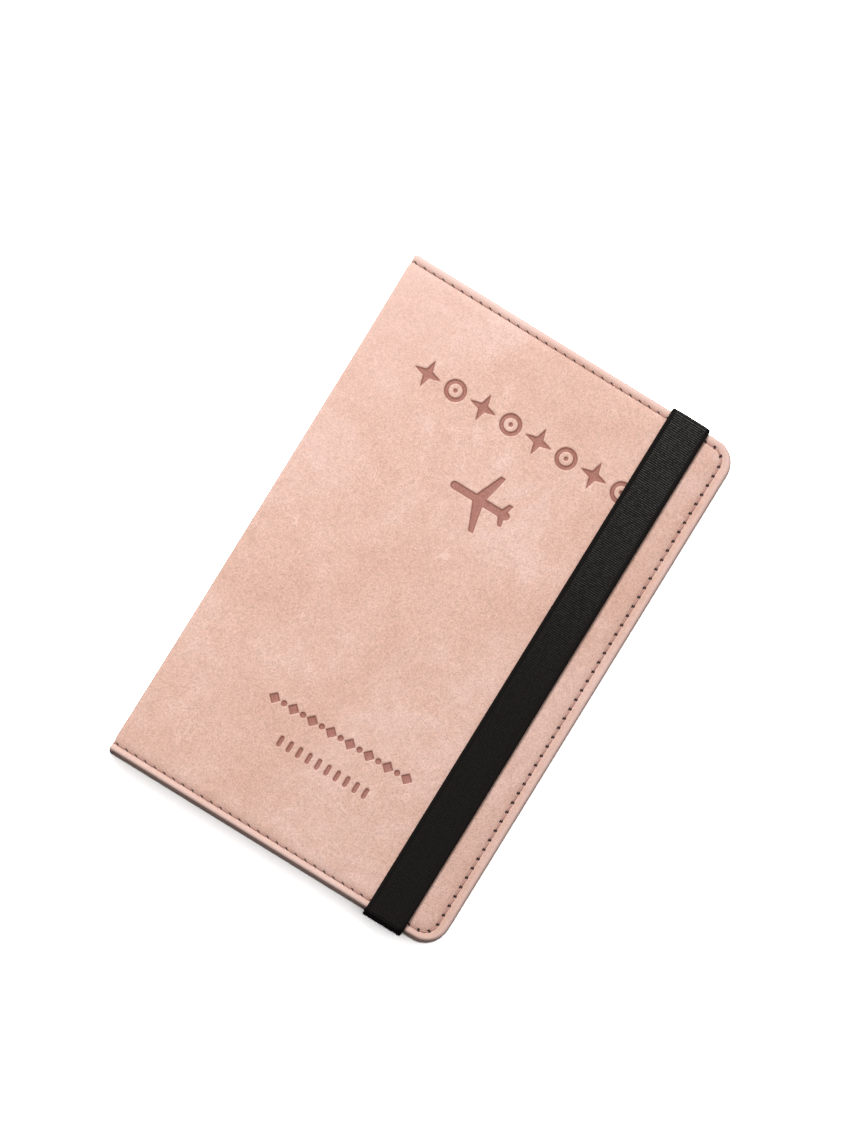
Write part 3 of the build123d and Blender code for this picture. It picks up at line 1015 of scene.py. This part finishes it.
def thread_tube(path, side, out, place, store):
    """Adds one stitch: a tube along the path, with side and out as its cross directions."""
    base = len(store["points"])
    for k, centre in enumerate(path):
        share = k / (len(path) - 1)
        radius = THREAD * (0.55 + 0.45 * math.sin(math.pi * share) ** 0.5)
        for m in range(AROUND):
            turn = 2 * math.pi * m / AROUND
            ring = centre + side * (radius * math.cos(turn)) + out * (radius * math.sin(turn))
            store["points"].append(ring)
            store["seam"].append((place + share * PITCH) / MM)
            store["round"].append(m / AROUND)
    for k in range(len(path) - 1):
        for m in range(AROUND):
            a, b = base + k * AROUND + m, base + k * AROUND + (m + 1) % AROUND
            store["faces"].append((a, b, b + AROUND, a + AROUND))
    store["faces"].append(tuple(range(base, base + AROUND)))
    last = base + (len(path) - 1) * AROUND
    store["faces"].append(tuple(range(last, last + AROUND)))


def new_store():
    return {"points": [], "faces": [], "seam": [], "round": []}


def finish_thread(name, store):
    """Turns collected stitches into one piece."""
    piece = make_piece(name, np.array(store["points"]), store["faces"],
                       seam=store["seam"], round=store["round"])
    piece.data.materials.append(sewing_thread)
    return piece


# %% Stitches along the seam
def seam_point(place, aside=0.0):
    """Point on the flat pattern's seam, with its forward direction. place may pass the fold."""
    mirrored = place > SEAM_LENGTH / 2
    s = SEAM_LENGTH - place if mirrored else place
    r = TURN + aside
    if s < RUN_X:
        x, y, dx, dy = LEFT + s, HALF - SEAM + aside, 1.0, 0.0
    elif s < RUN_X + ARC:
        turn = (s - RUN_X) / TURN
        x = TURN_X + r * math.sin(turn)
        y = TURN_Y + r * math.cos(turn)
        dx, dy = math.cos(turn), -math.sin(turn)
    else:
        x, y, dx, dy = TURN_X + r, TURN_Y - (s - RUN_X - ARC), 0.0, -1.0
    return (x, -y, -dx, dy) if mirrored else (x, y, dx, dy)


def inner_depth(x, y, facing):
    """Depth of the topmost inner layer under a cover's outer face."""
    if facing > 0:
        return INNER_FACE + LINING * sum(y < mouth for mouth in SLOT_MOUTHS)
    return INNER_FACE + LINING * sum(x > mouth for mouth in SLEEVE_MOUTHS)


SLOT_MOUTHS = [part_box(f"card_slot_{n}")[1].y for n in (1, 2, 3)]
SLEEVE_MOUTHS = [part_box(n)[0].x for n in ("boarding_pass_pocket", "passport_sleeve")]
BEYOND = math.floor((FOLD_LENGTH - (FOLD_START - LEFT) - 0.4 * MM) / PITCH)
STITCH_GAP, SEAM_SLANT = 0.2 * MM, 0.09 * MM
OUTER_DEPTH, OUTER_DIP = 0.27, 0.30
INNER_PROUD, INNER_DIP = 0.06, 0.25


def cover_stitches(name, facing):
    """Outer and inner stitches of one cover, and the outer ones on its half of the spine."""
    store = new_store()
    for k in range(-BEYOND - 1, STITCHES + BEYOND):
        start = (k + 0.5) * PITCH + STITCH_GAP / 2
        length = PITCH - STITCH_GAP
        for layer in ("outer", "inner"):
            spots = []
            for b in range(BEADS + 1):
                share = b / BEADS
                slant = SEAM_SLANT * (1 - 2 * share)
                x, y, dx, dy = seam_point(start + share * length, slant)
                dip = (2 * share - 1) ** 4
                if layer == "outer":
                    depth = (OUTER_DEPTH + OUTER_DIP * dip) * MM
                else:
                    proud = (INNER_PROUD - INNER_DIP * dip) * MM
                    depth = inner_depth(x, y, facing) + proud
                spots.append((x, y, depth))
            if layer == "inner" and min(s[0] for s in spots) < FOLD_START + RIM / 2:
                continue
            path = [Vector(wrap_leather(x, y, -depth, facing)) for x, y, depth in spots]
            ahead = (path[-1] - path[0]).normalized()
            above = Vector(wrap_leather(*spots[BEADS // 2][:2], 0.0, facing))
            out = above - path[BEADS // 2]
            out = (out - ahead * out.dot(ahead)).normalized()
            thread_tube(path, out.cross(ahead), out, start, store)
    return finish_thread(name, store)


for name, node, facing in (("front_seam_thread", "front_cover_stitching", 1),
                           ("back_seam_thread", "back_cover_stitching", -1)):
    threads = cover_stitches(name, facing)
    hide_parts(node)
    fold_blend(threads)

# %% [markdown]
# ## Lining and pocket panels
# Inside, each cover is lined with cloth, and flat panels are sewn over it along the
# cover's seam to make pockets. All of them are thin closed sheets with a slightly
# rounded rim that sink a little where the seam holds them. A pocket's mouth is a turned
# edge, so it is a touch thicker there.

# %% Panel builder
MOUTH_SEAM = 2.2 * MM
PANEL_RIM, PANEL_ROUNDING = 0.25 * MM, 0.10 * MM
SEAM_PULL, SEAM_PULL_WIDTH = 0.05 * MM, 0.6 * MM
MOUTH_TURNED, MOUTH_THICKER = 3.6, 0.05 * MM


def panel(name, x_lines, y_lines, margin, depth, thickness, place, mouth=None):
    """A thin sheet on a cover's inner side. place(x, y, depth) puts its points there."""
    x, y = np.meshgrid(x_lines, y_lines, indexing="ij")
    left, right, low_y, high_y = x_lines[0], x_lines[-1], y_lines[0], y_lines[-1]
    to_rim = np.minimum(np.minimum(x - left, right - x), np.minimum(y - low_y, high_y - y))
    x, y = round_corners(x, y, margin)
    rim = np.clip(1 - to_rim / PANEL_RIM, 0, 1)
    rounding = PANEL_ROUNDING * (1 - np.sqrt(1 - rim * rim))
    seam_pull = SEAM_PULL * np.exp(-(seam_distance(x, y) / SEAM_PULL_WIDTH) ** 2)
    face = thickness - rounding - seam_pull
    if mouth is not None:
        from_mouth = (high_y - y if mouth == "top" else x - left) / MM
        face = face + MOUTH_THICKER * (1 - np.clip((from_mouth - MOUTH_TURNED) / 0.6, 0, 1))
        face = face - 0.09 * MM * np.exp(-((from_mouth - MOUTH_SEAM / MM) / 0.35) ** 2)
        to_rim = np.minimum(to_rim, from_mouth * MM)
    upper = place(x, y, depth + face).reshape(-1, 3)
    under = place(x, y, depth + rounding * 0.4).reshape(-1, 3)
    rows, columns = x.shape
    size = rows * columns
    faces = grid_faces(rows, columns) + grid_faces(rows, columns, size)
    grid = np.arange(size).reshape(rows, columns)
    loop = np.concatenate([grid[0, :], grid[1:, -1], grid[-1, -2::-1], grid[-2:0:-1, 0]])
    for a, b in zip(loop.tolist(), np.roll(loop, -1).tolist()):
        faces.append((a, b, b + size, a + size))
    return make_piece(name, np.concatenate([upper, under]), faces,
                      inset=np.tile(to_rim.ravel() / MM, 2), seam=np.zeros(2 * size))


def panel_lines(low, high, soft_low, soft_high):
    """Grid lines across a panel, closer at its rims."""
    return lines(low, (low + 0.3 * MM, 0.1 * MM), (low + soft_low, 0.45 * MM),
                 (high - soft_high, 1.6 * MM), (high - 0.3 * MM, 0.45 * MM), (high, 0.1 * MM))


def place_inside(facing):
    """Puts a flat panel's points at their depth under a cover's outer face."""
    def place(x, y, depth):
        z = TOP - depth
        return np.stack([x, y, z if facing > 0 else TOP - z], -1)
    return place


def mouth_stitches(store, start, end, z, facing):
    """A straight row of stitches from start to end, along a pocket's mouth."""
    start, end = Vector((*start, z)), Vector((*end, z))
    run = (end - start).length
    count = round(run / PITCH)
    ahead = (end - start).normalized()
    side = Vector((-ahead.y, ahead.x, 0))
    for k in range(count):
        path = []
        for b in range(BEADS + 1):
            share = b / BEADS
            dip = (2 * share - 1) ** 4
            at = (k + 0.04 + 0.92 * share) * run / count
            slant = 0.08 * MM * (1 - 2 * share)
            lift = Vector((0, 0, facing * 0.22 * MM * dip))
            path.append(start + ahead * at + side * slant + lift)
        thread_tube(path, side, Vector((0, 0, 1)), k * PITCH, store)


# %% [markdown]
# The lining follows the leather: each half covers the inside of one cover, rounds the
# fold inside it and ends halfway up the spine. It is cloth.

# %% Path of the lining
LINING_RADIUS = 0.45 * MM
LINING_WALL = SKIN + LINING / 2 + 0.02 * MM
LINING_DEPTH = RIM + LINING / 2
LINING_TURN = LEFT + LINING_WALL + LINING_RADIUS
LINING_STEP = 0.5 * MM
LINING_ROUND = LINING_RADIUS * math.pi / 2
LINING_DOWN = TOP / 2 - LINING_WALL - LINING_RADIUS


def place_lining(facing):
    """Steps the flat lining down beside the board and wraps it round the inside of a fold."""
    def place(x, y, depth):
        down_step = np.clip((x - LINING_TURN) / LINING_STEP, 0, 1)
        down_step = down_step * down_step * (3 - 2 * down_step)
        middle = LINING_WALL + (LINING_DEPTH - LINING_WALL) * down_step
        run = LINING_TURN - x
        turn = np.clip(run / LINING_RADIUS, 0, math.pi / 2)
        down = np.maximum(run - LINING_ROUND, 0)
        lift = LINING_DEPTH - depth
        new_x = np.maximum(x, LINING_TURN) - (LINING_RADIUS + lift) * np.sin(turn)
        new_z = TOP - middle - LINING_RADIUS + (LINING_RADIUS + lift) * np.cos(turn) - down
        new_y = y * (1 - 0.009 * (1 - down_step))
        return np.stack([new_x, new_y, new_z if facing > 0 else TOP - new_z], -1)
    return place


# %% Linings
for name, node, facing in (("front_lining_cloth", "front_lining", 1),
                           ("back_lining_cloth", "back_lining", -1)):
    low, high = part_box(node)
    margin = RIGHT - high.x
    start = LINING_TURN - LINING_ROUND - LINING_DOWN
    x_lines = lines(start, (LINING_TURN - LINING_ROUND, 0.5 * MM), (LINING_TURN, 0.12 * MM),
                    (LINING_TURN + LINING_STEP, 0.08 * MM), (high.x - 4 * MM, 1.6 * MM),
                    (high.x - 0.3 * MM, 0.4 * MM), (high.x, 0.1 * MM))
    cloth = panel(name, x_lines, panel_lines(low.y, high.y, 4 * MM, 4 * MM), margin,
                  RIM, LINING, place_lining(facing))
    cloth.data.materials.append(lining_cloth)
    fold_blend(cloth)
    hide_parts(node, "spine_lining")
    size = (high.x - start, high.y - low.y)

# %% [markdown]
# The pockets come in two families. Three card slots climb the front cover like stairs,
# each mouth a little above the next. On the back cover a wide pocket for a boarding pass
# lies under the sleeve that takes the passport's own cover.

# %% Pockets
inner_threads = {"front_cover": new_store(), "back_cover": new_store()}
pocket_jobs = [
    ("card_slot_1", "front_cover", 1, 0, "top"), ("card_slot_2", "front_cover", 1, 1, "top"),
    ("card_slot_3", "front_cover", 1, 2, "top"),
    ("boarding_pass_pocket", "back_cover", -1, 0, "left"),
    ("passport_sleeve", "back_cover", -1, 1, "left"),
]
for node, body, facing, level, mouth in pocket_jobs:
    low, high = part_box(node)
    margin = RIGHT - high.x
    left = low.x if mouth == "left" else FOLD_START - 0.2 * MM
    depth = INNER_FACE + level * LINING
    piece = panel(f"{node}_panel", panel_lines(left, high.x, 6 * MM, 4 * MM),
                  panel_lines(low.y, high.y, 4 * MM, 6 * MM), margin, depth, LINING,
                  place_inside(facing), mouth)
    piece.data.materials.append(pocket_leather)
    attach(piece, body)
    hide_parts(node)
    size = (high.x - left, high.y - low.y)
    corners = 1 if mouth == "top" else 2
    outer = TOP if facing > 0 else 0.0
    z = outer - facing * (depth + LINING - 0.02 * MM)
    inset_y = SEAM + 0.6 * MM
    if mouth == "top":
        row = high.y - MOUTH_SEAM
        ends = ((left + 1.5 * MM, row), (high.x - SEAM_SIDE - 0.6 * MM, row))
    else:
        column = left + MOUTH_SEAM
        ends = ((column, -HALF + inset_y), (column, HALF - inset_y))
    mouth_stitches(inner_threads[body], *ends, z, facing)
for body, store in inner_threads.items():
    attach(finish_thread(f"{body}_pocket_thread", store), body)

# %% [markdown]
# ## The elastic
# One strip of woven elastic is sewn into the top and bottom edges of the back cover and
# passes over the front. It is a swept section: two thick selvedges with a groove inside
# each, and a flatter ribbed middle.

# %% Path of the elastic
leg_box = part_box("elastic_leg_top")
LEG_Y = (leg_box[0].y + leg_box[1].y) / 2
tab_low, tab_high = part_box("elastic_tab_top")
TAB_Z = (tab_low.z + tab_high.z) / 2
RUN_Z = (RUN_LOW.z + RUN_HIGH.z) / 2


def arc(cy, cz, radius, start, end, steps):
    """Points (y, z) on an arc, with angles in degrees from +Y towards +Z."""
    turns = np.radians(np.linspace(start, end, steps + 1))
    return [(cy + radius * math.cos(t), cz + radius * math.sin(t)) for t in turns]


low_bend, high_bend = 0.55 * MM, 1.05 * MM
END_DIP = 0.06 * MM
LEG_BOW = 0.20 * MM
upper_half = [(y, RUN_Z - END_DIP * (abs(y) / HALF) ** 6)
              for y in np.linspace(0, LEG_Y - high_bend, 64)]
upper_half += arc(LEG_Y - high_bend, RUN_Z - high_bend - END_DIP, high_bend, 90, 0, 9)[1:]
leg_top, leg_foot = RUN_Z - high_bend - END_DIP, TAB_Z + low_bend
upper_half += [(LEG_Y + LEG_BOW * math.sin(math.pi * s), leg_top + (leg_foot - leg_top) * s)
               for s in np.linspace(0, 1, 15)[1:]]
upper_half += arc(LEG_Y - low_bend, TAB_Z + low_bend, low_bend, 0, -90, 6)[1:]
upper_half += [(y, TAB_Z) for y in np.linspace(LEG_Y - low_bend, tab_low.y, 7)[1:]]
path = [(-y, z) for y, z in upper_half[:0:-1]] + upper_half
path = np.array(path)
steps = np.hypot(*np.diff(path, axis=0).T)
run_along = np.concatenate([[0], np.cumsum(steps)])
print(f"the elastic is {1000 * run_along[-1]:.1f} mm long from end to end")

# %% Section of the elastic and its mesh
def half_thickness(edge):
    """Half the elastic's thickness at a distance in millimetres from its edge."""
    rounding = np.sqrt(np.clip(1 - (1 - np.clip(edge / 0.35, 0, 1)) ** 2, 0, 1))
    selvedge = 0.05 * np.exp(-((edge - 0.6) / 0.5) ** 2)
    gutter = 0.07 * np.exp(-((edge - 1.28) / 0.16) ** 2)
    return (0.40 * rounding + selvedge - gutter) * MM


across_half = np.concatenate([[0, 0.05, 0.15, 0.3, 0.5, 0.8, 1.05, 1.18, 1.28, 1.38, 1.55],
                              np.linspace(2.1, BAND_HALF / MM, 7)]) * MM
across = np.concatenate([across_half, 2 * BAND_HALF - across_half[-2::-1]])
edge_gap = np.minimum(across, 2 * BAND_HALF - across) / MM
section_up = half_thickness(edge_gap)
tangent = np.gradient(path, axis=0)
tangent /= np.linalg.norm(tangent, axis=1, keepdims=True)
# The outward side of the strip is to the left of the way it runs.
outward = np.stack([-tangent[:, 1], tangent[:, 0]], -1)
points, inset_values, seam_values = [], [], []
for (py, pz), (oy, oz), s in zip(path, outward, run_along):
    near_bend = math.exp(-(((pz - RUN_Z) / (1.6 * MM)) ** 2)) * math.exp(
        -(((abs(py) - LEG_Y) / (1.8 * MM)) ** 2))
    ring = [(a, h) for a, h in zip(across, section_up)]
    ring += [(a, -h) for a, h in zip(across[-2:0:-1], section_up[-2:0:-1])]
    for a, h in ring:
        gap = min(a, 2 * BAND_HALF - a) / MM
        rounded = 0.60 * MM * near_bend * math.exp(-(gap / 0.8) ** 2)
        x = BAND_X + (a - BAND_HALF) * (1 + 0.012 * near_bend)
        lift = h - rounded
        points.append((x, py + oy * lift, pz + oz * lift))
        inset_values.append(gap)
        seam_values.append(s / MM)
size = 2 * len(across) - 2
faces = []
for n in range(len(path) - 1):
    for m in range(size):
        a, b = n * size + m, n * size + (m + 1) % size
        faces.append((a, b, b + size, a + size))
faces.append(tuple(range(size)))
faces.append(tuple(range(len(points) - size, len(points))))
elastic = make_piece("elastic_band", np.array(points), faces,
                     flat=[len(faces) - 2, len(faces) - 1],
                     inset=inset_values, seam=seam_values)
elastic.data.materials.append(ribbed_elastic)
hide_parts("elastic_front_run", "elastic_leg_top", "elastic_leg_bottom",
            "elastic_tab_top", "elastic_tab_bottom")
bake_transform(elastic)

# %% [markdown]
# ## The hidden layers
# The stiffening boards and the shielding film sit inside the turned edges. They are
# simple flat cuts, so the CAD pieces stay, and they only need a material: a fine
# foam for the board and a crumpled metal skin for the film.

# %% Board and film
foam_board, tree, shader = start_material("foam_board", 0.85, 0.0, 0.2)
place = add(tree, "ShaderNodeTexCoord").outputs["Object"]
cells = add(tree, "ShaderNodeTexVoronoi", {"Vector": place, "Scale": 2600.0})
colour = mix_colour(tree, cells.outputs["Distance"], swatch(216, 210, 198), swatch(236, 231, 222))
tree.links.new(colour, shader.inputs["Base Color"])
bump(tree, shader, cells.outputs["Distance"], 0.05 * MM)

metal_film, tree, shader = start_material("metal_film", 0.35, 0.0, 0.5)
shader.inputs["Metallic"].default_value = 1.0
place = add(tree, "ShaderNodeTexCoord").outputs["Object"]
crumple = add(tree, "ShaderNodeTexNoise", {"Vector": place, "Scale": 320.0, "Detail": 4.0})
colour = mix_colour(tree, crumple.outputs["Fac"], swatch(190, 191, 194), swatch(222, 223, 226))
tree.links.new(colour, shader.inputs["Base Color"])
bump(tree, shader, crumple.outputs["Fac"], 0.08 * MM)

for node, material in (
    ("front_stiffener_board", foam_board), ("back_stiffener_board", foam_board),
    ("front_rfid_film", metal_film), ("back_rfid_film", metal_film),
):
    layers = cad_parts[node].data.materials
    layers.clear()
    layers.append(material)
